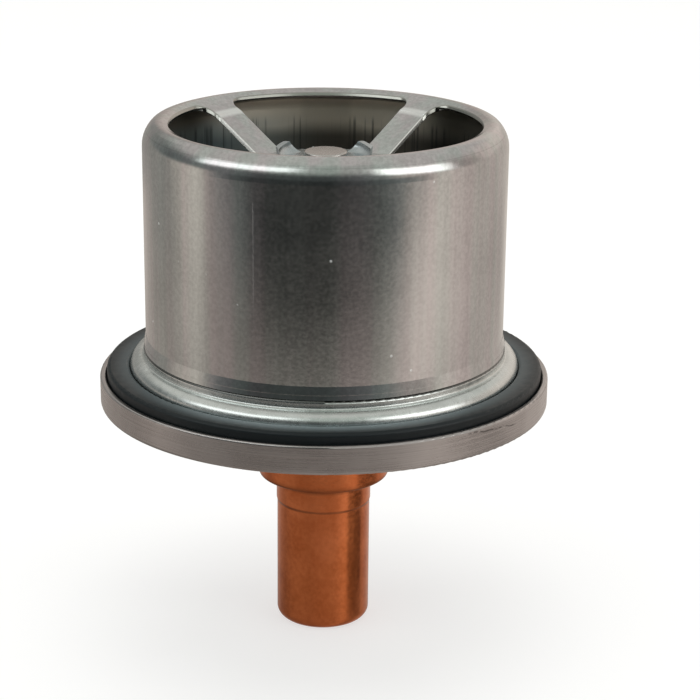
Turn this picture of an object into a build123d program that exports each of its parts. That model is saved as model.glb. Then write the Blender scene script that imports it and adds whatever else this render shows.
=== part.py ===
from build123d import *
from math import radians, sin, tan
import os

# Engine coolant valve of the sleeve type, opened by a wax element.
# Z is the axis of the sleeve, and z = 0 is the underside of the mounting flange.
# All sizes are in millimetres, with the valve cold and shut.

# Sleeve pressing
sleeve_diameter = 58.0
sleeve_sheet = 0.9
top_height = 46.0
lip_flare = 0.3
lip_height = 2.1
lip_land = 0.8
flank_radius = 4.65
flank_turn = 45.0
crown_radius = 1.75
crown_land = 4.15
rim_fall = 22.0
window_corner = 2.2
window_edge_radius = 0.2
spoke_fold_inset = 3.45
spoke_width = 5.4
spoke_fall = 31.0
spoke_bend_radius = 0.8
spoke_count = 4
spoke_angle = 48.0
hub_depth = 7.4
hub_margin = 0.5

# Flange pressing
flange_margin = 7.5
flange_sheet = 1.0
rim_height = 4.6
rim_corner_radius = 0.5
rim_edge_radius = 0.3
port_play = 0.3
bridge_arm_width = 7.0
bridge_ring_margin = 1.25
bridge_drop = 9.2

# Seat ring pressing
seat_sheet = 1.0
seat_height = 9.25
seat_wall_offset = 2.6
seat_neck_step = 0.1
seat_neck_height = 1.4
neck_fillet_radius = 0.3
seat_inset = 2.1
seat_shoulder_radius = 0.5

# Flange gasket
gasket_height = 4.2
gasket_edge_radius = 0.6
gasket_clearance = 0.15

# Saddle with turned-up corners on the hub
saddle_sheet = 1.0
saddle_flat_radius = 6.3
saddle_bend_radius = 1.5
saddle_bend_turn = 86.0
saddle_wall = 0.3
saddle_side_distance = 7.1
saddle_side_radius = 12.0
claw_steep_slope = 54.0
claw_gentle_slope = 10.0

# Stem
stem_radius = 4.0
stem_neck_radius = 2.5
stem_head_radius = 3.5
stem_head_height = 1.4
stem_head_edge = 0.3
stem_foot_step = 1.5
stem_foot_height = 2.2
stem_foot_chamfer = 0.5
stem_foot_gap = 1.5
socket_depth = 6.0

# Spring and its moving seat
spring_mean_radius = 10.5
spring_wire = 2.4
spring_turns = 4.5
spring_seat_sheet = 1.0
spring_seat_rim = 3.4
spring_rim_clearance = 0.4

# Cage that carries the fixed end of the spring
cage_sheet = 1.0
cage_inset = 2.9
cage_cone_height = 10.0
cage_crown_margin = 2.8
cage_leg_width = 8.0
cage_bend_radius = 1.6
cage_base_height = 1.6

# Guide bush in the cage
bush_wall = 1.95
bush_flange_step = 1.6
bush_flange_height = 1.4
bush_length = 4.0

# Wax element
element_radius = 7.69
crimp_step = 0.13
crimp_step_drop = 4.4
crimp_step_length = 0.4
element_length = 39.0
element_bottom_radius = 1.6
element_wall = 0.8
collar_step = 3.06
collar_height = 4.1
collar_edge_radius = 0.5
collar_lip = 2.0
piston_radius = 2.25
piston_point_length = 4.0
piston_point_radius = 1.0
guide_neck_radius = 6.5
guide_nose_radius = 4.2
guide_nose_height = 1.5
guide_nose_length = 3.5
guide_step_clearance = 0.1
guide_nose_chamfer = 0.4
boot_sheet = 0.6
boot_wall = 1.1
boot_end_gap = 0.5
wax_depth = 5.6
clip_groove_depth = 0.9
clip_height = 0.9
clip_play = 0.1
clip_ring_width = 2.9
clip_gap_angle = 50.0

# Broken edges of the turned pieces
edge_break = 0.3

# Clearances
running_clearance = 0.05
press_clearance = 0.05
wax_clearance = 0.05
hub_clearance = 2.3

# Levels and radii of the sleeve and its hub
sleeve_radius = sleeve_diameter / 2
window_radius = sleeve_radius - crown_land
spoke_fold_radius = window_radius - spoke_fold_inset
hub_height = top_height - hub_depth
hub_bottom = hub_height - sleeve_sheet
hub_radius = saddle_flat_radius + hub_margin
saddle_top = hub_height + saddle_sheet
stem_head_top = saddle_top + stem_head_height

# Levels and radii of the seat ring, the cage and the flange
flange_radius = sleeve_radius + flange_margin
foot_top = flange_sheet + seat_sheet
seat_wall_radius = sleeve_radius + seat_wall_offset
seat_inner_radius = sleeve_radius - seat_inset
gasket_outer_radius = flange_radius - flange_sheet - gasket_clearance
cage_foot_top = flange_sheet + cage_sheet
cage_radius = seat_inner_radius - cage_inset
cage_height = hub_bottom - hub_clearance - bush_flange_height
port_radius = cage_radius + port_play
bridge_floor = -bridge_drop
bridge_top = bridge_floor + flange_sheet

# Levels and radii of the spring, its seats and the bush
spring_seat_height = guide_nose_height + stem_foot_gap + stem_foot_height
spring_bottom = spring_seat_height + spring_seat_sheet
spring_top = cage_height - cage_sheet
spring_outer_radius = spring_mean_radius + spring_wire / 2
cage_crown_radius = spring_outer_radius + cage_crown_margin
bush_radius = stem_radius + running_clearance + bush_wall

# Levels and radii of the stem's socket and the wax element
stem_foot_bottom = spring_seat_height - stem_foot_height
socket_top = stem_foot_bottom + socket_depth
collar_radius = element_radius + collar_step
collar_inner_radius = collar_radius - element_wall
collar_bottom = bridge_floor - collar_height
crimp_underside = bridge_floor - element_wall
bridge_ring_radius = collar_radius + bridge_ring_margin
boot_shelf = collar_bottom + element_wall
guide_flange_bottom = boot_shelf + boot_sheet
guide_bore_radius = piston_radius + running_clearance
boot_radius = guide_bore_radius + boot_wall
boot_bottom = element_wall + wax_depth - element_length
boot_cavity_bottom = boot_bottom + boot_wall
piston_bottom = boot_cavity_bottom + boot_end_gap


# Flange: one pressing with an upturned rim, a port and a sunk bridge for the wax element
with BuildPart() as flange:
    with BuildSketch(Plane.XZ):
        with BuildLine():
            FilletPolyline(
                (flange_radius, rim_height),
                (flange_radius, 0),
                (port_radius, 0),
                (bridge_ring_radius, bridge_floor),
                (guide_neck_radius + press_clearance, bridge_floor),
                radius=rim_corner_radius,
            )
            offset(amount=flange_sheet, side=Side.RIGHT, kind=Kind.INTERSECTION)
        make_face()
    revolve(axis=Axis.Z)
    with BuildSketch(Plane.XY.offset(bridge_floor)):
        Circle(port_radius)
        Circle(bridge_ring_radius, mode=Mode.SUBTRACT)
        with PolarLocations(port_radius, spoke_count, start_angle=spoke_angle):
            Rectangle(2 * port_radius, bridge_arm_width, mode=Mode.SUBTRACT)
    extrude(amount=bridge_drop + flange_sheet, mode=Mode.SUBTRACT)
    rim_edges = flange.edges().filter_by(GeomType.CIRCLE).group_by(Axis.Z)[-1]
    fillet(rim_edges, radius=rim_edge_radius)
flange.part.label = "flange"

# Seat ring: a channel pressing, with the valve seat on its neck and a bead that centres the gasket
with BuildPart() as seat_ring:
    neck_radius = sleeve_radius + lip_flare + seat_neck_step
    bead_radius = seat_wall_radius - neck_radius - neck_fillet_radius
    seat_wall_height = seat_height - seat_neck_height - bead_radius
    with BuildSketch(Plane.XZ):
        with BuildLine():
            Polyline(
                (gasket_outer_radius, foot_top),
                (seat_wall_radius, foot_top),
                (seat_wall_radius, seat_wall_height),
            )
            bead = JernArc((seat_wall_radius, seat_wall_height), (0, 1), bead_radius, 90)
            neck_fillet = JernArc(bead @ 1, (-1, 0), neck_fillet_radius, -90)
            FilletPolyline(
                neck_fillet @ 1,
                (neck_radius, seat_height),
                (seat_inner_radius, seat_height),
                (seat_inner_radius, cage_foot_top),
                radius=seat_shoulder_radius,
            )
            offset(amount=seat_sheet, side=Side.LEFT, kind=Kind.INTERSECTION)
        make_face()
    revolve(axis=Axis.Z)
seat_ring.part.label = "seat_ring"

# Gasket: a moulded rubber ring held between the bead and the rim
with BuildPart() as flange_gasket:
    gasket_inner_radius = seat_wall_radius + press_clearance
    with BuildSketch(Plane.XZ):
        gasket_width = gasket_outer_radius - gasket_inner_radius
        with Locations((gasket_inner_radius, foot_top)):
            Rectangle(gasket_width, gasket_height, align=Align.MIN)
    revolve(axis=Axis.Z)
    gasket_edges = flange_gasket.edges().filter_by(GeomType.CIRCLE).group_by(Axis.Z)[-1]
    fillet(gasket_edges, radius=gasket_edge_radius)
flange_gasket.part.label = "flange_gasket"

# Sleeve: one deep-drawn pressing with a flared lip, a rolled crown, four spokes and a hub
with BuildPart() as valve_sleeve:
    with BuildSketch(Plane.XZ):
        with BuildLine():
            flank_rise = flank_radius * sin(radians(flank_turn))
            crown_rise = crown_radius * (1 - sin(radians(flank_turn)))
            lip = Polyline(
                (sleeve_radius + lip_flare, seat_height),
                (sleeve_radius + lip_flare, seat_height + lip_land),
                (sleeve_radius, seat_height + lip_height),
                (sleeve_radius, top_height - flank_rise - crown_rise),
            )
            flank = JernArc(lip @ 1, (0, 1), flank_radius, flank_turn)
            crown = JernArc(flank @ 1, flank % 1, crown_radius, 90 - flank_turn + rim_fall)
            crown_end = crown @ 1
            fold_height = crown_end.Y - (crown_end.X - spoke_fold_radius) * tan(radians(rim_fall))
            spoke_run = (fold_height - hub_height) / tan(radians(spoke_fall))
            FilletPolyline(
                crown_end,
                (spoke_fold_radius, fold_height),
                (spoke_fold_radius - spoke_run, hub_height),
                (stem_neck_radius + press_clearance, hub_height),
                radius=spoke_bend_radius,
            )
            offset(amount=sleeve_sheet, side=Side.LEFT, kind=Kind.INTERSECTION)
        make_face()
    revolve(axis=Axis.Z)
    with BuildSketch(Plane.XY.offset(hub_bottom)) as sleeve_windows:
        Circle(window_radius)
        Circle(hub_radius, mode=Mode.SUBTRACT)
        with PolarLocations(window_radius, spoke_count, start_angle=spoke_angle):
            Rectangle(2 * window_radius, spoke_width, mode=Mode.SUBTRACT)
        corners_by_radius = sleeve_windows.vertices().sort_by(SortBy.DISTANCE)
        fillet(corners_by_radius[-2 * spoke_count :], radius=window_corner)
    extrude(amount=top_height - hub_bottom, mode=Mode.SUBTRACT)
    window_edges = valve_sleeve.edges(Select.LAST).filter_by(Axis.Z, reverse=True)
    fillet(window_edges, radius=window_edge_radius)
valve_sleeve.part.label = "valve_sleeve"

# Saddle: a square sheet plate on the hub, with hollow sides and its corners turned up over the spokes
with BuildPart() as hub_saddle:
    with BuildSketch(Plane.XZ):
        with BuildLine():
            flat = Line((stem_neck_radius + press_clearance, saddle_top), (saddle_flat_radius, saddle_top))
            bend = JernArc(flat @ 1, (1, 0), saddle_bend_radius, saddle_bend_turn)
            claw_wall = PolarLine(bend @ 1, saddle_wall, saddle_bend_turn)
            claw_top = (claw_wall @ 1).Y
            offset(amount=saddle_sheet, side=Side.RIGHT, kind=Kind.INTERSECTION)
        make_face()
    revolve(axis=Axis.Z)
    with BuildSketch(Plane.XY.offset(hub_height)):
        side_angle = spoke_angle + 180 / spoke_count
        with PolarLocations(saddle_side_distance + saddle_side_radius, spoke_count, start_angle=side_angle):
            Circle(saddle_side_radius)
    extrude(amount=claw_top, mode=Mode.SUBTRACT)
    steep_run = (claw_top - saddle_top) / tan(radians(claw_steep_slope))
    gentle_fall = saddle_side_distance * tan(radians(claw_gentle_slope))
    for claw in range(spoke_count):
        claw_direction = Vector(1, 0, 0).rotate(Axis.Z, spoke_angle + claw * 360 / spoke_count)
        claw_plane = Plane(
            origin=claw_direction * saddle_flat_radius,
            x_dir=claw_direction.rotate(Axis.Z, 90),
            z_dir=claw_direction,
        )
        steep_side = (-1) ** claw
        with BuildSketch(claw_plane):
            with BuildLine():
                Polyline(
                    (0, claw_top),
                    (steep_side * steep_run, saddle_top),
                    (steep_side * saddle_side_distance, saddle_top),
                    (steep_side * saddle_side_distance, 2 * claw_top),
                    (-steep_side * saddle_side_distance, 2 * claw_top),
                    (-steep_side * saddle_side_distance, claw_top - gentle_fall),
                    close=True,
                )
            make_face()
        extrude(amount=saddle_side_distance, mode=Mode.SUBTRACT)
hub_saddle.part.label = "hub_saddle"

# Stem: turned steel, with a riveted head on the saddle, a foot for the spring seat and a piston socket
with BuildPart() as stem:
    with BuildSketch(Plane.XZ):
        with BuildLine():
            Polyline(
                (0, stem_head_top),
                (stem_head_radius, stem_head_top),
                (stem_head_radius, saddle_top),
                (stem_neck_radius, saddle_top),
                (stem_neck_radius, hub_bottom),
                (stem_radius, hub_bottom),
                (stem_radius, spring_seat_height),
                (stem_radius + stem_foot_step, spring_seat_height),
                (stem_radius + stem_foot_step, stem_foot_bottom),
                (guide_bore_radius, stem_foot_bottom),
                (guide_bore_radius, socket_top),
                (0, socket_top),
                close=True,
            )
        make_face()
    revolve(axis=Axis.Z)
    fillet(stem.edges().filter_by(GeomType.CIRCLE).group_by(Axis.Z)[-1], radius=stem_head_edge)
    foot_edges = stem.edges().filter_by(GeomType.CIRCLE).group_by(Axis.Z)[0]
    chamfer(foot_edges.sort_by(SortBy.RADIUS)[-1], length=stem_foot_chamfer)
stem.part.label = "stem"

# Spring seat: a pressed cup on the stem's foot that lifts the free end of the spring
with BuildPart() as spring_seat:
    seat_rim_radius = spring_outer_radius + spring_rim_clearance
    with BuildSketch(Plane.XZ):
        with BuildLine():
            FilletPolyline(
                (stem_radius + press_clearance, spring_bottom),
                (seat_rim_radius, spring_bottom),
                (seat_rim_radius, spring_seat_height + spring_seat_rim),
                radius=spring_rim_clearance,
            )
            offset(amount=spring_seat_sheet, side=Side.RIGHT, kind=Kind.INTERSECTION)
        make_face()
    revolve(axis=Axis.Z)
spring_seat.part.label = "spring_seat"

# Return spring: round wire, with both ends ground flat on their seats
with BuildPart() as return_spring:
    spring_length = spring_top - spring_bottom
    with BuildLine() as coil:
        Helix(spring_length / spring_turns, spring_length, spring_mean_radius, center=(0, 0, spring_bottom))
    with BuildSketch(Plane(origin=coil.line @ 0, z_dir=coil.line % 0)):
        Circle(spring_wire / 2)
    sweep(path=coil.line, is_frenet=True)
    split(bisect_by=Plane.XY.offset(spring_bottom), keep=Keep.TOP)
    split(bisect_by=Plane.XY.offset(spring_top), keep=Keep.BOTTOM)
return_spring.part.label = "return_spring"

# Cage: a drawn cup clamped under the seat ring, with four legs, that holds the spring's fixed end
with BuildPart() as spring_cage:
    with BuildSketch(Plane.XZ):
        with BuildLine():
            FilletPolyline(
                (seat_inner_radius + seat_sheet, cage_foot_top),
                (cage_radius, cage_foot_top),
                (cage_radius, cage_height - cage_cone_height),
                (cage_crown_radius, cage_height),
                (bush_radius + press_clearance, cage_height),
                radius=cage_bend_radius,
            )
            offset(amount=cage_sheet, side=Side.LEFT, kind=Kind.INTERSECTION)
        make_face()
    revolve(axis=Axis.Z)
    with BuildSketch(Plane.XY.offset(cage_foot_top + cage_base_height)):
        Circle(2 * cage_radius)
        Circle(cage_crown_radius, mode=Mode.SUBTRACT)
        with PolarLocations(cage_radius, spoke_count, start_angle=spoke_angle):
            Rectangle(2 * cage_radius, cage_leg_width, mode=Mode.SUBTRACT)
    extrude(amount=cage_height, mode=Mode.SUBTRACT)
spring_cage.part.label = "spring_cage"

# Guide bush: turned brass, pressed into the crown of the cage
with BuildPart() as guide_bush:
    with BuildSketch(Plane.XZ):
        with BuildLine():
            Polyline(
                (stem_radius + running_clearance, cage_height + bush_flange_height),
                (bush_radius + bush_flange_step, cage_height + bush_flange_height),
                (bush_radius + bush_flange_step, cage_height),
                (bush_radius, cage_height),
                (bush_radius, cage_height - bush_length),
                (stem_radius + running_clearance, cage_height - bush_length),
                close=True,
            )
        make_face()
    revolve(axis=Axis.Z)
    chamfer(guide_bush.edges().filter_by(GeomType.CIRCLE).sort_by(SortBy.RADIUS)[-2:], length=edge_break)
guide_bush.part.label = "guide_bush"

# Element cup: deep-drawn copper, with a stepped mouth rolled over the guide's flange
with BuildPart() as element_cup:
    mouth_radius = element_radius + crimp_step
    step_height = collar_bottom - crimp_step_drop
    with BuildSketch(Plane.XZ):
        with BuildLine():
            bottom = Line((0, -element_length), (element_radius - element_bottom_radius, -element_length))
            corner = JernArc(bottom @ 1, (1, 0), element_bottom_radius, 90)
            FilletPolyline(
                corner @ 1,
                (element_radius, step_height - crimp_step_length),
                (mouth_radius, step_height),
                (mouth_radius, collar_bottom),
                (collar_radius, collar_bottom),
                (collar_radius, bridge_floor),
                (collar_radius - collar_lip, bridge_floor),
                radius=collar_edge_radius,
            )
            offset(amount=element_wall, side=Side.LEFT, kind=Kind.INTERSECTION)
        make_face()
    revolve(axis=Axis.Z)
element_cup.part.label = "element_cup"

# Element guide: turned brass, crimped into the cup, standing through the bridge of the flange
with BuildPart() as element_guide:
    clip_groove_radius = guide_neck_radius - clip_groove_depth
    clip_groove_top = bridge_top + clip_height + clip_play
    nose_shoulder = guide_nose_height - guide_nose_length
    with BuildSketch(Plane.XZ):
        with BuildLine():
            Polyline(
                (guide_bore_radius, guide_flange_bottom),
                (collar_inner_radius - press_clearance, guide_flange_bottom),
                (collar_inner_radius - press_clearance, crimp_underside),
                (collar_radius - collar_lip - guide_step_clearance, crimp_underside),
                (collar_radius - collar_lip - guide_step_clearance, bridge_floor),
                (guide_neck_radius, bridge_floor),
                (guide_neck_radius, bridge_top),
                (clip_groove_radius, bridge_top),
                (clip_groove_radius, clip_groove_top),
                (guide_neck_radius, clip_groove_top),
                (guide_neck_radius, nose_shoulder - (guide_neck_radius - guide_nose_radius)),
                (guide_nose_radius, nose_shoulder),
                (guide_nose_radius, guide_nose_height),
                (guide_bore_radius, guide_nose_height),
                close=True,
            )
        make_face()
    revolve(axis=Axis.Z)
    nose_edges = element_guide.edges().filter_by(GeomType.CIRCLE).group_by(Axis.Z)[-1]
    chamfer(nose_edges.sort_by(SortBy.RADIUS)[-1], length=guide_nose_chamfer)
element_guide.part.label = "element_guide"

# Element clip: an open spring-steel ring in the guide's groove that holds the element up in the bridge
with BuildPart() as element_clip:
    clip_inner_radius = clip_groove_radius + press_clearance
    with BuildSketch(Plane.XY.offset(bridge_top)):
        Circle(clip_inner_radius + clip_ring_width)
        Circle(clip_inner_radius, mode=Mode.SUBTRACT)
        with BuildLine():
            gap_reach = clip_inner_radius + clip_ring_width
            gap_half_width = gap_reach * tan(radians(clip_gap_angle / 2))
            Polyline((0, 0), (gap_reach, gap_half_width), (gap_reach, -gap_half_width), close=True)
        make_face(mode=Mode.SUBTRACT)
    extrude(amount=clip_height)
element_clip.part.label = "element_clip"

# Element boot: a moulded rubber sleeve around the piston, clamped under the guide's flange
with BuildPart() as element_boot:
    with BuildSketch(Plane.XZ):
        with BuildLine():
            Polyline(
                (guide_bore_radius, guide_flange_bottom),
                (collar_inner_radius - press_clearance, guide_flange_bottom),
                (collar_inner_radius - press_clearance, boot_shelf),
                (boot_radius, boot_shelf),
                (boot_radius, boot_bottom),
                (0, boot_bottom),
                (0, boot_cavity_bottom),
                (guide_bore_radius, boot_cavity_bottom),
                close=True,
            )
        make_face()
    revolve(axis=Axis.Z)
    boot_end_edges = element_boot.edges().filter_by(GeomType.CIRCLE).group_by(Axis.Z)[0]
    fillet(boot_end_edges, radius=boot_wall)
element_boot.part.label = "element_boot"

# Wax charge: the filled space between the cup and the boot
with BuildPart() as wax_charge:
    wax_radius = element_radius - element_wall - wax_clearance
    wax_bottom = -element_length + element_wall + wax_clearance
    with BuildSketch(Plane.XZ):
        with BuildLine():
            Polyline(
                (boot_radius + wax_clearance, boot_shelf - wax_clearance),
                (wax_radius, boot_shelf - wax_clearance),
                (wax_radius, wax_bottom),
                (0, wax_bottom),
                (0, boot_bottom - wax_clearance),
                (boot_radius + wax_clearance, boot_bottom - wax_clearance),
                close=True,
            )
        make_face()
    revolve(axis=Axis.Z)
    wax_end_edges = wax_charge.edges().filter_by(GeomType.CIRCLE).group_by(Axis.Z)[0]
    fillet(wax_end_edges, radius=element_bottom_radius - element_wall)
wax_charge.part.label = "wax_charge"

# Piston: polished steel rod with a cone that the boot squeezes, seated in the stem's socket
with BuildPart() as piston:
    with BuildSketch(Plane.XZ):
        with BuildLine():
            Polyline(
                (0, piston_bottom),
                (piston_point_radius, piston_bottom),
                (piston_radius, piston_bottom + piston_point_length),
                (piston_radius, socket_top),
                (0, socket_top),
                close=True,
            )
        make_face()
    revolve(axis=Axis.Z)
    chamfer(piston.edges().filter_by(GeomType.CIRCLE).group_by(Axis.Z)[-1], length=edge_break)
piston.part.label = "piston"

os.makedirs("parts", exist_ok=True)
export_step(flange.part, "parts/flange.step")
export_step(seat_ring.part, "parts/seat_ring.step")
export_step(flange_gasket.part, "parts/flange_gasket.step")
export_step(valve_sleeve.part, "parts/valve_sleeve.step")
export_step(hub_saddle.part, "parts/hub_saddle.step")
export_step(stem.part, "parts/stem.step")
export_step(spring_seat.part, "parts/spring_seat.step")
export_step(return_spring.part, "parts/return_spring.step")
export_step(spring_cage.part, "parts/spring_cage.step")
export_step(guide_bush.part, "parts/guide_bush.step")
export_step(element_cup.part, "parts/element_cup.step")
export_step(element_guide.part, "parts/element_guide.step")
export_step(element_clip.part, "parts/element_clip.step")
export_step(element_boot.part, "parts/element_boot.step")
export_step(wax_charge.part, "parts/wax_charge.step")
export_step(piston.part, "parts/piston.step")
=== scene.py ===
import bpy
from math import cos, degrees, radians, sin
from mathutils import Matrix, Vector


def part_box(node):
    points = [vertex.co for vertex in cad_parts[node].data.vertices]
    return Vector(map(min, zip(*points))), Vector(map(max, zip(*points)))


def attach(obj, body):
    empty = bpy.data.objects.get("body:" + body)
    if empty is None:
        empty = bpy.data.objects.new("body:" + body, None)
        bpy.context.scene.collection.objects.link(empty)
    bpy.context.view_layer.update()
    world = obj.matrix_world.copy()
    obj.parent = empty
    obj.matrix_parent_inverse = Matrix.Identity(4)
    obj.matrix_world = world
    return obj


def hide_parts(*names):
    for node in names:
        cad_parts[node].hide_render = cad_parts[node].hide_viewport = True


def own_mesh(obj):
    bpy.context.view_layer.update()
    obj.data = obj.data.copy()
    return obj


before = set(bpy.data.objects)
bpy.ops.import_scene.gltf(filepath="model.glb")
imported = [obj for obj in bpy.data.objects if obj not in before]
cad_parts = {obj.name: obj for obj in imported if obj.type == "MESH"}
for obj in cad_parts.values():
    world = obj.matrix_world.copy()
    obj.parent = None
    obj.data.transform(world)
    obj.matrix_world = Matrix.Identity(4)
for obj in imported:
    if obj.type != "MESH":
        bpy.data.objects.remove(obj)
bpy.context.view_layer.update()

camera_place = Vector((0.0, -0.3249, 0.11351))
camera_yaw = radians(0.738)
camera_pitch = radians(18.025)
camera_roll = radians(0.601)
focal_length_mm = 107.5
sensor_width_mm = 36.0
nearest_seen = 0.01
looking_right = sin(camera_yaw) * cos(camera_pitch)
looking_away = cos(camera_yaw) * cos(camera_pitch)
looking = Vector((looking_right, looking_away, -sin(camera_pitch)))
level_right = looking.cross(Vector((0, 0, 1))).normalized()
level_up = level_right.cross(looking)
camera_right = level_right * cos(camera_roll) + level_up * sin(camera_roll)
camera_up = level_up * cos(camera_roll) - level_right * sin(camera_roll)
camera_turn = Matrix((camera_right, camera_up, -looking)).transposed().to_4x4()
lens = bpy.data.cameras.new("studio_camera")
lens.lens = focal_length_mm
lens.sensor_width = sensor_width_mm
lens.clip_start = nearest_seen
camera = bpy.data.objects.new("studio_camera", lens)
camera.matrix_world = Matrix.Translation(camera_place) @ camera_turn
bpy.context.scene.collection.objects.link(camera)
bpy.context.scene.camera = camera
bpy.context.scene.view_settings.view_transform = "Standard"


# Studio: a light tent, with a softbox high on the left, a larger one on the right and a plain pale roof.
# The side that the photographer stands in is dark, and shows as the dark middle of the sleeve.
# Each level of the tent is a list of directions around the valve, in degrees from the camera's, and light.
class Wire:
    """A socket in a node tree. Sums and products of wires add their own Math nodes."""

    def __init__(self, tree, socket=None):
        self.tree = tree
        self.socket = socket

    def feed(self, node, inputs):
        """Links a node's inputs to wires, or sets them to plain values."""
        for name, value in inputs.items():
            if isinstance(value, Wire):
                self.tree.links.new(value.socket, node.inputs[name])
            else:
                node.inputs[name].default_value = value

    def add(self, kind, settings={}, inputs={}, output=0):
        """A new node with its settings and inputs, as a wire from one of its outputs."""
        node = self.tree.nodes.new(kind)
        for name, value in settings.items():
            if name == "stops":
                steps = node.color_ramp.elements
                while len(steps) < len(value):
                    steps.new(0.5)
                for step, (position, colour) in zip(steps, value):
                    step.position = position
                    step.color = (*colour, 1)
            else:
                setattr(node, name, value)
        self.feed(node, inputs)
        return Wire(self.tree, node.outputs[output]) if node.outputs else None

    def maths(self, operation, first, second=0.0):
        """A Math node."""
        return self.add("ShaderNodeMath", {"operation": operation}, {0: first, 1: second})

    def __add__(self, other):
        return self.maths("ADD", self, other)

    def __radd__(self, other):
        return self.maths("ADD", other, self)

    def __sub__(self, other):
        return self.maths("SUBTRACT", self, other)

    def __rsub__(self, other):
        return self.maths("SUBTRACT", other, self)

    def __mul__(self, other):
        return self.maths("MULTIPLY", self, other)

    def __rmul__(self, other):
        return self.maths("MULTIPLY", other, self)

    def size(self):
        """This value without its sign."""
        return self.maths("ABSOLUTE", self)

    def most(self, other):
        """The larger of two values."""
        return self.maths("MAXIMUM", self, other)

    def part(self, axis):
        """The X, Y or Z of a place or direction."""
        return self.add("ShaderNodeSeparateXYZ", inputs={0: self}, output=axis)

    def fade(self, start, end, low=0.0, high=1.0):
        """A smooth step of this value, from low at start to high at end."""
        limits = {"Value": self, "From Min": start, "From Max": end, "To Min": low, "To Max": high}
        return self.add("ShaderNodeMapRange", {"interpolation_type": "SMOOTHSTEP"}, limits)

    def between(self, start, full, fading, end):
        """A band of this value: 0 up to start, 1 from full to fading, and 0 again from end."""
        return self.fade(start, full) * self.fade(end, fading)

    def blend(self, first, second):
        """A colour that goes from first to second as this value goes from 0 to 1."""
        first = (*first, 1) if isinstance(first, tuple) else first
        second = (*second, 1) if isinstance(second, tuple) else second
        return self.add("ShaderNodeMix", {"data_type": "RGBA"}, {0: self, 6: first, 7: second}, 2)


tent_walls = [
    (-160, 0.50),
    (-130, 0.33),
    (-108, 0.35),
    (-99, 0.56),
    (-86, 0.66),
    (-78, 0.38),
    (-60, 0.25),
    (-47, 0.10),
    (-36, 0.030),
    (0, 0.020),
    (34, 0.065),
    (46, 0.18),
    (56, 0.58),
    (68, 0.80),
    (86, 0.70),
    (97, 0.60),
    (125, 0.49),
    (148, 0.47),
    (160, 0.65),
]
tent_eaves = [
    (-114, 0.33),
    (-97, 0.58),
    (-84, 0.68),
    (-76, 0.34),
    (-63, 0.13),
    (-46, 0.050),
    (0, 0.030),
    (22, 0.080),
    (42, 0.14),
    (63, 0.34),
    (76, 0.74),
    (104, 0.55),
    (150, 0.55),
]
tent_feet = [
    (-150, 0.40),
    (-108, 0.38),
    (-92, 0.52),
    (-78, 0.36),
    (-50, 0.22),
    (-25, 0.10),
    (0, 0.050),
    (30, 0.29),
    (45, 0.66),
    (62, 0.94),
    (80, 0.78),
    (104, 0.52),
    (150, 0.56),
]
tent_floor = [
    (-150, 0.42),
    (-110, 0.28),
    (-92, 0.34),
    (-63, 0.40),
    (-35, 0.41),
    (0, 0.49),
    (30, 0.53),
    (52, 0.68),
    (64, 0.66),
    (84, 0.36),
    (104, 0.42),
    (150, 0.60),
]
tent_shoulders = [
    (-150, 0.30),
    (-112, 0.16),
    (-80, 0.20),
    (-60, 0.17),
    (-40, 0.08),
    (0, 0.07),
    (20, 0.12),
    (36, 0.22),
    (52, 0.50),
    (76, 0.48),
    (94, 0.37),
    (106, 0.42),
    (118, 0.66),
    (150, 0.70),
]
# Degrees above the horizon at which one level starts and ends its blend into the next, and the degrees
# on each side of the back over which the two ends of a level's list meet.
feet_climb = (-15.5, -18.7)
floor_climb = (-19.2, -20.0)
eaves_climb = (-14.0, -13.0)
shoulders_climb = (0, 8)
roof_climb = (16, 38)
seam_width = 15
# The dark gap that a tripod leaves low on the right, and the ground, which takes less light. A band is
# given by the degrees at which it starts, is full, begins to fade and ends.
tripod_sides = (58, 68, 102, 114)
tripod_climb = (-26.0, -23.0, -21.4, -20.6)
tripod_darkness = 0.96
ground_climb = (-25.0, -22.4)
ground_light = 0.70
# The tent is greenish where it is dark and warm where it is bright or low.
dark_tint = (0.93, 1.03, 1.02)
bright_tint = (1.10, 0.99, 0.90)
tint_lights = (0.10, 0.45)
low_warmth_climb = (-14.5, -18.0)
low_warmth = 0.25
roof_colour = (0.60, 0.60, 0.565)
roof_shade = (0.44, 0.48, 0.44)
roof_shade_sides = (-55, -20, 30, 65)
roof_shade_climb = (66, 54)
left_lamp_colour = (1.80, 1.86, 1.84)
left_lamp_middle = -60
left_lamp_tilt = 0.20
left_lamp_sides = (-94, -82, -30, -12)
left_lamp_climb = (22, 29, 39, 45)
right_lamp_colour = (2.30, 2.32, 2.26)
right_lamp_middle = 62
right_lamp_tilt = -0.30
right_lamp_sides = (27, 43, 74, 92)
right_lamp_climb = (8, 16, 30, 36)
backdrop_colour = (0.96, 0.96, 0.96)
world = bpy.data.worlds.new("light_tent")
world.use_nodes = True
world.node_tree.nodes.clear()
bpy.context.scene.world = world
tent = Wire(world.node_tree)
towards = tent.add("ShaderNodeTexCoord", output="Generated")
around = tent.maths("ARCTAN2", towards.part("X"), towards.part("Y") * -1.0) * degrees(1)
climb = tent.maths("ARCSINE", towards.part("Z")) * degrees(1)


def tent_band(stops):
    """The light from one level of the tent, by direction. The two ends of its list meet softly behind."""
    first, last = stops[0][1], stops[-1][1]
    behind = (first + last) / 2
    stops = [(-180, behind), (seam_width - 180, first), *stops, (180 - seam_width, last), (180, behind)]
    ramp_stops = [(direction / 360 + 0.5, (light, light, light)) for direction, light in stops]
    return tent.add("ShaderNodeValToRGB", {"stops": ramp_stops}, {0: around * (1 / 360) + 0.5})


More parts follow.
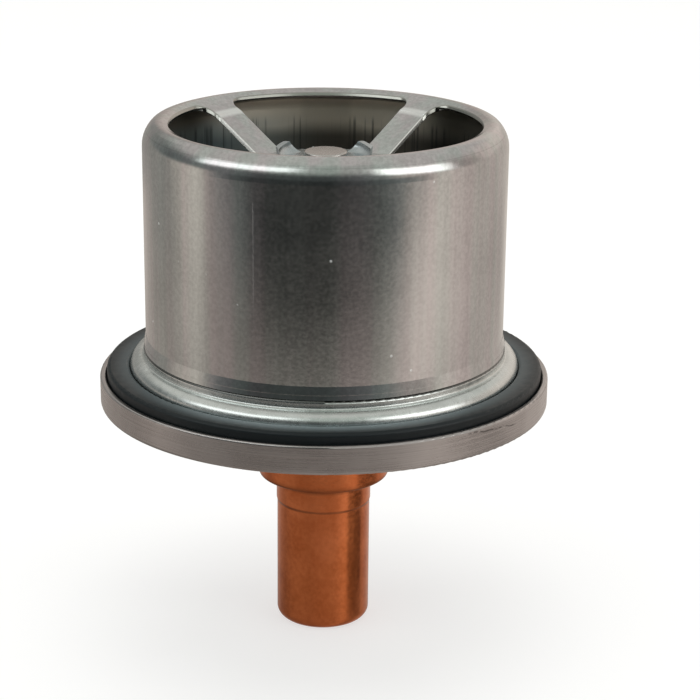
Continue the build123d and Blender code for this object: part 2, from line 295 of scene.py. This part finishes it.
lower_tent = climb.fade(*feet_climb).blend(tent_band(tent_walls), tent_band(tent_feet))
lower_tent = climb.fade(*floor_climb).blend(lower_tent, tent_band(tent_floor))
lower_tent = climb.fade(*eaves_climb).blend(lower_tent, tent_band(tent_eaves))
lower_tent = climb.fade(*shoulders_climb).blend(lower_tent, tent_band(tent_shoulders))
tripod_gap = around.between(*tripod_sides) * climb.between(*tripod_climb)
light = lower_tent * ((1 - tripod_gap * tripod_darkness) * climb.fade(*ground_climb, low=ground_light))
warmth = (light + climb.fade(*low_warmth_climb) * low_warmth).fade(*tint_lights)
tint = warmth.blend(dark_tint, bright_tint)
walls = tent.add("ShaderNodeVectorMath", {"operation": "SCALE"}, {0: tint, "Scale": light})
shaded = around.between(*roof_shade_sides) * climb.fade(*roof_shade_climb)
tent_colour = climb.fade(*roof_climb).blend(walls, shaded.blend(roof_colour, roof_shade))
left_climb = climb - (around - left_lamp_middle) * left_lamp_tilt
left_lamp = around.between(*left_lamp_sides) * left_climb.between(*left_lamp_climb)
right_climb = climb - (around - right_lamp_middle) * right_lamp_tilt
right_lamp = around.between(*right_lamp_sides) * right_climb.between(*right_lamp_climb)
tent_colour = left_lamp.blend(tent_colour, left_lamp_colour)
tent_colour = right_lamp.blend(tent_colour, right_lamp_colour)
seen = tent.add("ShaderNodeLightPath", output="Is Camera Ray").blend(tent_colour, backdrop_colour)
backdrop = tent.add("ShaderNodeBackground", inputs={"Color": seen, "Strength": 1.0})
tent.add("ShaderNodeOutputWorld", inputs={"Surface": backdrop})

overhead_lamp_place = (0.0, 0.1, 0.9)
overhead_lamp_diameter = 0.9
overhead_lamp_watts = 4.0
lamp = bpy.data.lights.new("overhead_lamp", "AREA")
lamp.shape = "DISK"
lamp.size = overhead_lamp_diameter
lamp.energy = overhead_lamp_watts
overhead_lamp = bpy.data.objects.new("overhead_lamp", lamp)
overhead_lamp.location = overhead_lamp_place
overhead_lamp.visible_glossy = False
bpy.context.scene.collection.objects.link(overhead_lamp)


# Floor: a plain pale sheet that the valve stands on, wide enough to reach past the picture on every side.
# It glows a little, as paper on a light table does, so that the valve throws only a faint shadow.
import bmesh

floor_height = -0.039
floor_reach = 4.0
floor_sides = 96
paper_colour = (0.42, 0.42, 0.42, 1)
paper_roughness = 0.95
paper_glow = {"Emission Color": (1.0, 1.0, 1.0, 1), "Emission Strength": 0.62}


def new_finish(name):
    """A material, a wire to start its nodes from, and its Principled shader."""
    material = bpy.data.materials.new(name)
    material.use_nodes = True
    return material, Wire(material.node_tree), material.node_tree.nodes["Principled BSDF"]


floor_mesh = bpy.data.meshes.new("floor")
shape = bmesh.new()
bmesh.ops.create_circle(shape, cap_ends=True, segments=floor_sides, radius=floor_reach)
bmesh.ops.translate(shape, verts=shape.verts, vec=(0, 0, floor_height))
shape.to_mesh(floor_mesh)
shape.free()
floor = bpy.data.objects.new("floor", floor_mesh)
bpy.context.scene.collection.objects.link(floor)
floor_paper, wire, shader = new_finish("floor_paper")
wire.feed(shader, {"Base Color": paper_colour, "Roughness": paper_roughness, **paper_glow})
floor_mesh.materials.append(floor_paper)
floor.visible_glossy = False


# Flange: a steel pressing with an upturned rim, on which the whole valve is built.
# Its rim was rolled and brushed, so fine lines run around it, and handling left it one ragged dark scratch.
def dress(node, material):
    """Gives a CAD node its material."""
    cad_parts[node].material_slots[0].material = material


def noise(place, scale, detail=3.0, stretch=(1, 1, 1)):
    """Even noise from about 0.3 to 0.7, with its grains pulled out along an axis where stretch is small."""
    place = place.add("ShaderNodeMapping", inputs={"Vector": place, "Scale": stretch})
    return place.add("ShaderNodeTexNoise", inputs={"Vector": place, "Scale": scale, "Detail": detail})


def split(place):
    """A point's distance from the axis, its height above the valve's base, and its direction in degrees."""
    across, behind = place.part("X"), place.part("Y")
    radius = place.maths("SQRT", across * across + behind * behind)
    return radius, place.part("Z"), place.maths("ARCTAN2", across, behind * -1.0) * degrees(1)


def emboss(wire, relief, strength, depth=0.00003, **inputs):
    """The normal of a surface whose relief, from 0 to 1, has a depth in metres."""
    raised = {"Height": relief, "Strength": strength, "Distance": depth}
    return wire.add("ShaderNodeBump", inputs={**raised, **inputs})


def metal(wire, shader, colour, roughness, relief, strength):
    """Makes a finish a bare metal, with a relief of its grain."""
    wire.feed(shader, {"Metallic": 1.0, "Base Color": colour, "Roughness": roughness})
    wire.feed(shader, {"Normal": emboss(wire, relief, strength)})


noise_range = (0.3, 0.7)
brushed_around = (0.012, 0.012, 1.0)
dull_brushed = (0.440, 0.412, 0.405)
bright_brushed = (0.610, 0.578, 0.570)
scratch_colour = (0.10, 0.09, 0.085)
scratch_level = 0.0035
scratch_middle = 46
scratch_slope = 0.00005
scratch_wander = 0.0014
scratch_turns = (36, 38, 53, 55)
scratch_breaks = (0.42, 0.56)
scratch_edge = (0.00020, 0.00004)
scratch_strength = 0.75
rim_face = (0.0360, 0.0363)
flange_steel, wire, shader = new_finish("flange_steel")
place = wire.add("ShaderNodeTexCoord", output="Object")
radius, level, turn = split(place)
brush_lines = noise(place, 5200.0, 4.0, brushed_around)
patches = noise(place, 160.0)
grain = noise(place, 2600.0, 2.0)
wander = (noise(place, 300.0, 3.0) - 0.5) * scratch_wander
scratch_path = scratch_level - (turn - scratch_middle) * scratch_slope + wander
scratch_reach = turn.between(*scratch_turns) * noise(place, 900.0).fade(*scratch_breaks)
scratch = (level - scratch_path).size().fade(*scratch_edge) * scratch_reach
scratch = scratch * radius.fade(*rim_face) * scratch_strength
tone = brush_lines.fade(*noise_range) * 0.6 + patches.fade(*noise_range) * 0.4
steel_colour = scratch.blend(tone.blend(dull_brushed, bright_brushed), scratch_colour)
roughness = brush_lines * 0.12 + patches * 0.08 + 0.18 + scratch * 0.3
metal(wire, shader, steel_colour, roughness, brush_lines * 0.7 + grain * 0.3, 0.4)
dress("flange", flange_steel)

# Seat ring: a drawn steel ring with the valve's seat on its neck and a round bead that centres the gasket.
# It is clamped on the flange's floor. Its die left it satin, and painted shade darkens it in the seam under
# the sleeve's lip.
dull_satin = (0.64, 0.67, 0.655)
bright_satin = (0.83, 0.86, 0.85)
seam_shade_colour = (0.10, 0.10, 0.095)
seam_shade_levels = (0.00885, 0.00892)
seam_shade_strength = 0.9
seat_steel, wire, shader = new_finish("seat_steel")
place = wire.add("ShaderNodeTexCoord", output="Object")
grain = noise(place, 900.0, 4.0)
patches = noise(place, 140.0)
# Painted shade: the top of the neck is darkened in the seam under the sleeve's lip.
seam_shade = place.part("Z").fade(*seam_shade_levels) * seam_shade_strength
tone = patches.fade(*noise_range) * 0.6 + grain.fade(*noise_range) * 0.4
satin_colour = seam_shade.blend(tone.blend(dull_satin, bright_satin), seam_shade_colour)
metal(wire, shader, satin_colour, grain * 0.16 + patches * 0.10 + 0.14, grain, 0.3)
dress("seat_ring", seat_steel)

# Gasket: a moulded black rubber ring pushed in between the bead and the rim.
# Its top carries a painted slate-blue sheen, brightest beside the bead and at the front, and its outer side
# is plain black.
bare_black_rubber = (0.006, 0.010, 0.012)
painted_sheen_colour = (0.190, 0.235, 0.250)
gasket_top = (0.0058, 0.0061)
sheen_radii = (0.0350, 0.0316)
sheen_turns = (70, 10)
faint_sheen = 0.35
rubber_shine = 0.36
rubber_grain_depth = 0.00004
gasket_rubber, wire, shader = new_finish("gasket_rubber")
place = wire.add("ShaderNodeTexCoord", output="Object")
radius, level, turn = split(place)
rubber_speckle = noise(place, 900.0, 4.0)
forward = turn.size().fade(*sheen_turns, low=faint_sheen)
# Painted sheen: the top is lightened slate blue, most beside the bead and at the front, standing in for
# reflections of the bead and tent.
painted_sheen = level.fade(*gasket_top) * radius.fade(*sheen_radii) * forward * (rubber_speckle * 0.5 + 0.75)
gasket_colour = painted_sheen.blend(bare_black_rubber, painted_sheen_colour)
wire.feed(shader, {"Base Color": gasket_colour, "Roughness": rubber_speckle * 0.25 + 0.30})
wire.feed(shader, {"Specular IOR Level": rubber_shine})
wire.feed(shader, {"Normal": emboss(wire, rubber_speckle, 0.3, rubber_grain_depth)})
dress("flange_gasket", gasket_rubber)

# Cage and spring seat: plain drawn steel pressings with a thin zinc coat, grey and a little mottled.
# The cage is clamped under the seat ring and holds the spring's fixed end, and the seat lifts its free end.
dull_zinc = (0.40, 0.425, 0.42)
bright_zinc = (0.53, 0.555, 0.55)
coated_steel, wire, shader = new_finish("coated_steel")
place = wire.add("ShaderNodeTexCoord", output="Object")
spangle = noise(place, 420.0, 4.0)
grain = noise(place, 1800.0, 3.0)
zinc_colour = spangle.fade(*noise_range).blend(dull_zinc, bright_zinc)
metal(wire, shader, zinc_colour, spangle * 0.2 + 0.25, grain, 0.4)
dress("spring_cage", coated_steel)
dress("spring_seat", coated_steel)

# Return spring: hard-drawn steel wire, dark from its heat treatment, coiled with both ends ground flat.
# It sits between the cage's crown and the seat on the stem. The solid can't shorten, so a coil of the same
# shape stands for it. The clip is of the same steel.
dark_wire = (0.20, 0.195, 0.19)
pale_wire = (0.36, 0.35, 0.34)
coil_turns = 4.5
coil_radius = 0.0105
coil_wire_radius = 0.0012
coil_steps = 324
coil_sides = 24
sharpest_smooth_turn = radians(35)
spring_steel, wire, shader = new_finish("spring_steel")
place = wire.add("ShaderNodeTexCoord", output="Object")
scale_marks = noise(place, 1300.0, 4.0)
wire_colour = scale_marks.fade(*noise_range).blend(dark_wire, pale_wire)
metal(wire, shader, wire_colour, scale_marks * 0.25 + 0.22, scale_marks, 0.3)
dress("element_clip", spring_steel)
coil_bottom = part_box("return_spring")[0][2]
coil_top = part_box("return_spring")[1][2]
coil_length = coil_top - coil_bottom
coil_points = []
coil_faces = []
for step in range(coil_steps + 1):
    angle = radians(360 * coil_turns * step / coil_steps)
    outward = Vector((cos(angle), sin(angle), 0.0))
    rise = coil_length / radians(360 * coil_turns)
    along = Vector((-sin(angle) * coil_radius, cos(angle) * coil_radius, rise)).normalized()
    upward = outward.cross(along)
    middle = outward * coil_radius + Vector((0.0, 0.0, coil_bottom + coil_length * step / coil_steps))
    for side in range(coil_sides):
        lean = radians(360 * side / coil_sides)
        point = middle + (outward * cos(lean) + upward * sin(lean)) * coil_wire_radius
        point.z = min(max(point.z, coil_bottom), coil_top)
        coil_points.append(point)
for step in range(coil_steps):
    for side in range(coil_sides):
        this, after = step * coil_sides + side, step * coil_sides + (side + 1) % coil_sides
        coil_faces.append((this, this + coil_sides, after + coil_sides, after))
coil_faces.append(tuple(range(coil_sides)))
coil_faces.append(tuple(reversed(range(coil_steps * coil_sides, (coil_steps + 1) * coil_sides))))
coil_mesh = bpy.data.meshes.new("return_coil")
coil_mesh.from_pydata(coil_points, [], coil_faces)
coil_mesh.polygons.foreach_set("use_smooth", [True] * len(coil_faces))
coil_mesh.set_sharp_from_angle(angle=sharpest_smooth_turn)
coil_mesh.materials.append(spring_steel)
coil = bpy.data.objects.new("return_coil", coil_mesh)
bpy.context.scene.collection.objects.link(coil)
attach(coil, "fixed_frame")
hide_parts("return_spring")
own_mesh(coil)

# Stem: turned and ground steel, with its end riveted over the saddle into a low round head.
# Fine tool marks run around it, and the riveting left it hammer marks.
turned_around = (0.05, 0.05, 1.0)
dull_ground = (0.50, 0.475, 0.455)
bright_ground = (0.64, 0.61, 0.59)
ground_steel, wire, shader = new_finish("ground_steel")
place = wire.add("ShaderNodeTexCoord", output="Object")
tool_marks = noise(place, 6000.0, 2.0, turned_around)
hammer_marks = noise(place, 900.0, 3.0)
tone = tool_marks.fade(*noise_range) * 0.5 + hammer_marks * 0.5
ground_colour = tone.blend(dull_ground, bright_ground)
metal(wire, shader, ground_colour, hammer_marks * 0.2 + 0.16, tool_marks * 0.4 + hammer_marks * 0.6, 0.4)
dress("stem", ground_steel)

# Sleeve: one deep-drawn steel pressing with a faint mottle, fine draw lines, one long line and some specks.
# Its end is rolled into a crown, and four spokes with a pressed fold carry the hub, with a painted
# highlight on the fold.
# The sheared edges are worn round and carry a painted highlight, and the inside is dull, with painted
# shade, a painted highlight at the back, scores and a painted cold glint on the left.
drawn_down = (1.0, 1.0, 0.012)
hue_drawn_down = (1.0, 1.0, 0.02)
green_hue = (0.97, 1.02, 1.00)
rose_hue = (1.03, 0.98, 1.00)
hue_range = (0.35, 0.65)
dull_drawn = (0.460, 0.455, 0.450)
bright_drawn = (0.645, 0.640, 0.635)
speck_colour = (0.86, 0.87, 0.86)
speck_edge = (0.066, 0.035)
speck_strength = 0.8
speck_patches = (0.46, 0.56)
long_line_turn = -21.5
long_line_edge = (0.16, 0.05)
long_line_levels = (0.0190, 0.0290, 0.0380, 0.0400)
long_line_strength = 0.22
hub_edge = (0.0080, 0.0090)
spoke_end = (0.0242, 0.0236)
crown_inner_edge = (0.0254, 0.0251)
crown_levels = (0.0447, 0.0450)
sheared_slopes = (0.82, 0.62)
hub_edge_highlight = (0.98, 0.98, 0.96)
rim_edge_highlight = (0.42, 0.42, 0.39)
edge_highlight_radii = (0.0218, 0.0200)
fold_radius = 0.0214
fold_half_width = 0.0005
fold_height = 0.0004
fold_highlight_radii = (0.0204, 0.0211, 0.0218, 0.0226)
fold_highlight_levels = (0.0430, 0.0435)
fold_highlight_colour = (0.97, 0.98, 0.97)
fold_highlight_strength = 0.8
inner_wall_radii = (0.0246, 0.0249, 0.0282, 0.0284)
inner_wall_top = (0.0447, 0.0445)
inside_shade_colour = (0.02, 0.02, 0.018)
inside_lit_colour = (0.92, 0.84, 0.72)
low_inside_shade_levels = (0.0370, 0.0406)
crown_shadow_levels = (0.0441, 0.0436)
low_lit_share = 0.20
crown_lit_share = 0.25
back_light_turns = (132, 160, 0.20, 1.0)
rear_highlight_turns = (164, 174, 1.35, 0.85)
glint_colour = (0.45, 0.62, 0.67)
glint_strength = 0.36
glint_across = (0.002, -0.016)
glint_levels = (0.0425, 0.0395)
score_range = (0.52, 0.64)
score_levels = (0.0414, 0.0396)
score_colour = (0.05, 0.05, 0.055)
score_strength = 0.55
worn_slopes = (0.6, 0.3)
sleeve_top = 0.046
edge_wear = 0.5
lip_land_top = 0.0100
lip_wear = 0.23
sleeve_steel, wire, shader = new_finish("sleeve_steel")
place = wire.add("ShaderNodeTexCoord", output="Object")
radius, level, turn = split(place)
draw_lines = noise(place, 900.0, 3.0, drawn_down)
hue_lines = noise(place, 260.0, 2.0, hue_drawn_down)
mottle = noise(place, 1700.0, 4.0)
patches = noise(place, 90.0)
speck_cells = {"Vector": place, "Scale": 240.0}
specks = wire.add("ShaderNodeTexVoronoi", inputs=speck_cells, output="Distance").fade(*speck_edge)
specks = specks * noise(place, 60.0).fade(*speck_patches) * speck_strength
long_line = (turn - long_line_turn).size().fade(*long_line_edge) * level.between(*long_line_levels)
marks = specks.most(long_line * long_line_strength)
tone = mottle.fade(*noise_range) * 0.45 + draw_lines.fade(*noise_range) * 0.25
tone = tone + patches.fade(*noise_range) * 0.30
hue = hue_lines.fade(*hue_range).blend(green_hue, rose_hue)
die_colour = tone.blend(dull_drawn, bright_drawn)
die_colour = wire.add("ShaderNodeVectorMath", {"operation": "MULTIPLY"}, {0: die_colour, 1: hue})

upright = wire.add("ShaderNodeNewGeometry", output="Normal").part("Z").size()
edge_zone = radius.fade(*hub_edge) * radius.fade(*spoke_end).most(level.fade(*crown_levels))
edge_zone = edge_zone * radius.fade(*crown_inner_edge)
sheared = upright.fade(*sheared_slopes) * edge_zone
# Painted highlight: a pale band along the spokes' fold stands in for the lamps that the crease catches.
fold_highlight = radius.between(*fold_highlight_radii) * level.fade(*fold_highlight_levels)
inside = radius.between(*inner_wall_radii) * level.fade(*inner_wall_top)
backward = turn.size()
backward = backward.fade(*back_light_turns) * backward.fade(*rear_highlight_turns)
# Painted light and shade on the inner wall: painted shade low down, under the crown and towards the front,
# and lighter towards the back with a painted highlight near it.
inside_light_and_shade = level.fade(*low_inside_shade_levels, low=low_lit_share) * level.fade(*crown_shadow_levels, low=crown_lit_share)
inside_light_and_shade = inside_light_and_shade * backward
# Painted highlight: a cold blue glint high on the left of the inner wall.
glint = place.part("X").fade(*glint_across) * level.fade(*glint_levels) * glint_strength
scores = noise(place, 1300.0, 2.0, drawn_down).fade(*score_range)
scores = scores * level.fade(*score_levels) * score_strength
dull_colour = inside_light_and_shade.blend(inside_shade_colour, inside_lit_colour)
dull_colour = scores.blend(glint.blend(dull_colour, glint_colour), score_colour)
die_colour = (fold_highlight * fold_highlight_strength).blend(die_colour, fold_highlight_colour)
die_colour = inside.blend(die_colour, dull_colour)
# Painted highlight: the sheared edges are lightened, most near the hub, standing in for the lamps they
# catch.
edge_highlight = radius.fade(*edge_highlight_radii).blend(rim_edge_highlight, hub_edge_highlight)
die_colour = sheared.blend(die_colour, edge_highlight)
wire.feed(shader, {"Base Color": marks.blend(die_colour, speck_colour), "Metallic": 1.0 - marks * 0.7})
wire.feed(shader, {"Roughness": mottle * 0.07 + patches * 0.08 + 0.075 + inside * 0.34 + sheared * 0.10})

fold = radius.fade(fold_radius - fold_half_width, fold_radius + fold_half_width) * fold_height
worn_edge = upright.fade(*worn_slopes) * edge_zone * (sleeve_top - level) * edge_wear
worn_lip = (lip_land_top - level).most(0.0) * lip_wear
drawn_normal = emboss(wire, mottle * 0.6 + draw_lines * 0.4, 0.22)
wire.feed(shader, {"Normal": emboss(wire, fold + worn_edge + worn_lip, 1.0, 1.0, Normal=drawn_normal)})
dress("valve_sleeve", sleeve_steel)

# Saddle: a square steel plate, zinc coated and slightly blue, riveted on the hub under the stem's head.
# Its corners are turned up over the spokes into claws.
dull_blue_zinc = (0.44, 0.485, 0.50)
bright_blue_zinc = (0.58, 0.625, 0.645)
saddle_steel, wire, shader = new_finish("saddle_steel")
place = wire.add("ShaderNodeTexCoord", output="Object")
grain = noise(place, 1400.0, 4.0)
patches = noise(place, 320.0)
saddle_colour = patches.fade(*noise_range).blend(dull_blue_zinc, bright_blue_zinc)
metal(wire, shader, saddle_colour, patches * 0.15 + grain * 0.10 + 0.16, grain, 0.5)
dress("hub_saddle", saddle_steel)

# Piston: a polished stainless rod that the element pushes up into the stem's socket.
# Only faint lines of the polishing run around it.
dull_polished = (0.62, 0.61, 0.60)
bright_polished = (0.74, 0.73, 0.72)
polished_steel, wire, shader = new_finish("polished_steel")
place = wire.add("ShaderNodeTexCoord", output="Object")
polish_lines = noise(place, 5000.0, 2.0, turned_around)
polished_colour = polish_lines.fade(*noise_range).blend(dull_polished, bright_polished)
wire.feed(shader, {"Metallic": 1.0, "Base Color": polished_colour})
wire.feed(shader, {"Roughness": polish_lines * 0.12 + 0.08})
dress("piston", polished_steel)

# Guide bush and element guide: turned brass. The bush is pressed into the cage's crown to guide the stem.
# The element's guide is crimped into the copper cup and stands up through the flange's bridge.
dull_brass = (0.66, 0.47, 0.20)
bright_brass = (0.80, 0.61, 0.30)
guide_brass, wire, shader = new_finish("guide_brass")
place = wire.add("ShaderNodeTexCoord", output="Object")
tool_marks = noise(place, 6000.0, 2.0, turned_around)
brass_colour = tool_marks.fade(*noise_range).blend(dull_brass, bright_brass)
metal(wire, shader, brass_colour, tool_marks * 0.15 + 0.20, tool_marks, 0.3)
dress("element_guide", guide_brass)
dress("guide_bush", guide_brass)

# Wax element's cup: deep-drawn copper, bare and slightly tarnished, with its mouth rolled over the guide.
# It has painted shade under the rolled collar, and a faint line runs around it where the crimping tool
# stopped.
dull_copper = (0.56, 0.148, 0.048)
bright_copper = (0.80, 0.245, 0.092)
collar_shade = (0.20, 0.070, 0.030)
collar_shade_levels = (-0.0150, -0.0142, -0.0134, -0.0120)
collar_shade_strength = 0.7
crimp_line_colour = (0.30, 0.100, 0.045)
crimp_line_level = -0.0179
crimp_line_edge = (0.00030, 0.00012)
crimp_line_strength = 0.6
element_copper, wire, shader = new_finish("element_copper")
place = wire.add("ShaderNodeTexCoord", output="Object")
level = place.part("Z")
patches = noise(place, 190.0, 4.0)
grain = noise(place, 1500.0, 3.0)
crimp_line = (level - crimp_line_level).size().fade(*crimp_line_edge) * crimp_line_strength
# Painted shade: a dark band under the rolled collar.
collar_shade_band = level.between(*collar_shade_levels) * collar_shade_strength
tone = patches.fade(*noise_range) * 0.7 + grain.fade(*noise_range) * 0.3
copper_colour = collar_shade_band.blend(tone.blend(dull_copper, bright_copper), collar_shade)
copper_colour = crimp_line.blend(copper_colour, crimp_line_colour)
metal(wire, shader, copper_colour, patches * 0.10 + grain * 0.06 + 0.09, grain, 0.35)
dress("element_cup", element_copper)

# Boot and wax charge: the rubber sleeve around the piston, and wax with copper powder that fills the cup.
# Both are shut inside the element.
black_rubber = (0.012, 0.012, 0.012)
bloomed_rubber = (0.030, 0.029, 0.028)
boot_rubber, wire, shader = new_finish("boot_rubber")
place = wire.add("ShaderNodeTexCoord", output="Object")
bloom = noise(place, 800.0)
boot_colour = bloom.fade(*noise_range).blend(black_rubber, bloomed_rubber)
wire.feed(shader, {"Base Color": boot_colour, "Roughness": bloom * 0.3 + 0.35})
dress("element_boot", boot_rubber)
dark_wax = (0.40, 0.21, 0.11)
pale_wax = (0.52, 0.30, 0.17)
powder_range = (0.4, 0.6)
copper_wax, wire, shader = new_finish("copper_wax")
place = wire.add("ShaderNodeTexCoord", output="Object")
powder = noise(place, 2400.0, 2.0)
wax_colour = powder.fade(*powder_range).blend(dark_wax, pale_wax)
wire.feed(shader, {"Base Color": wax_colour, "Roughness": powder * 0.3 + 0.40})
dress("wax_charge", copper_wax)
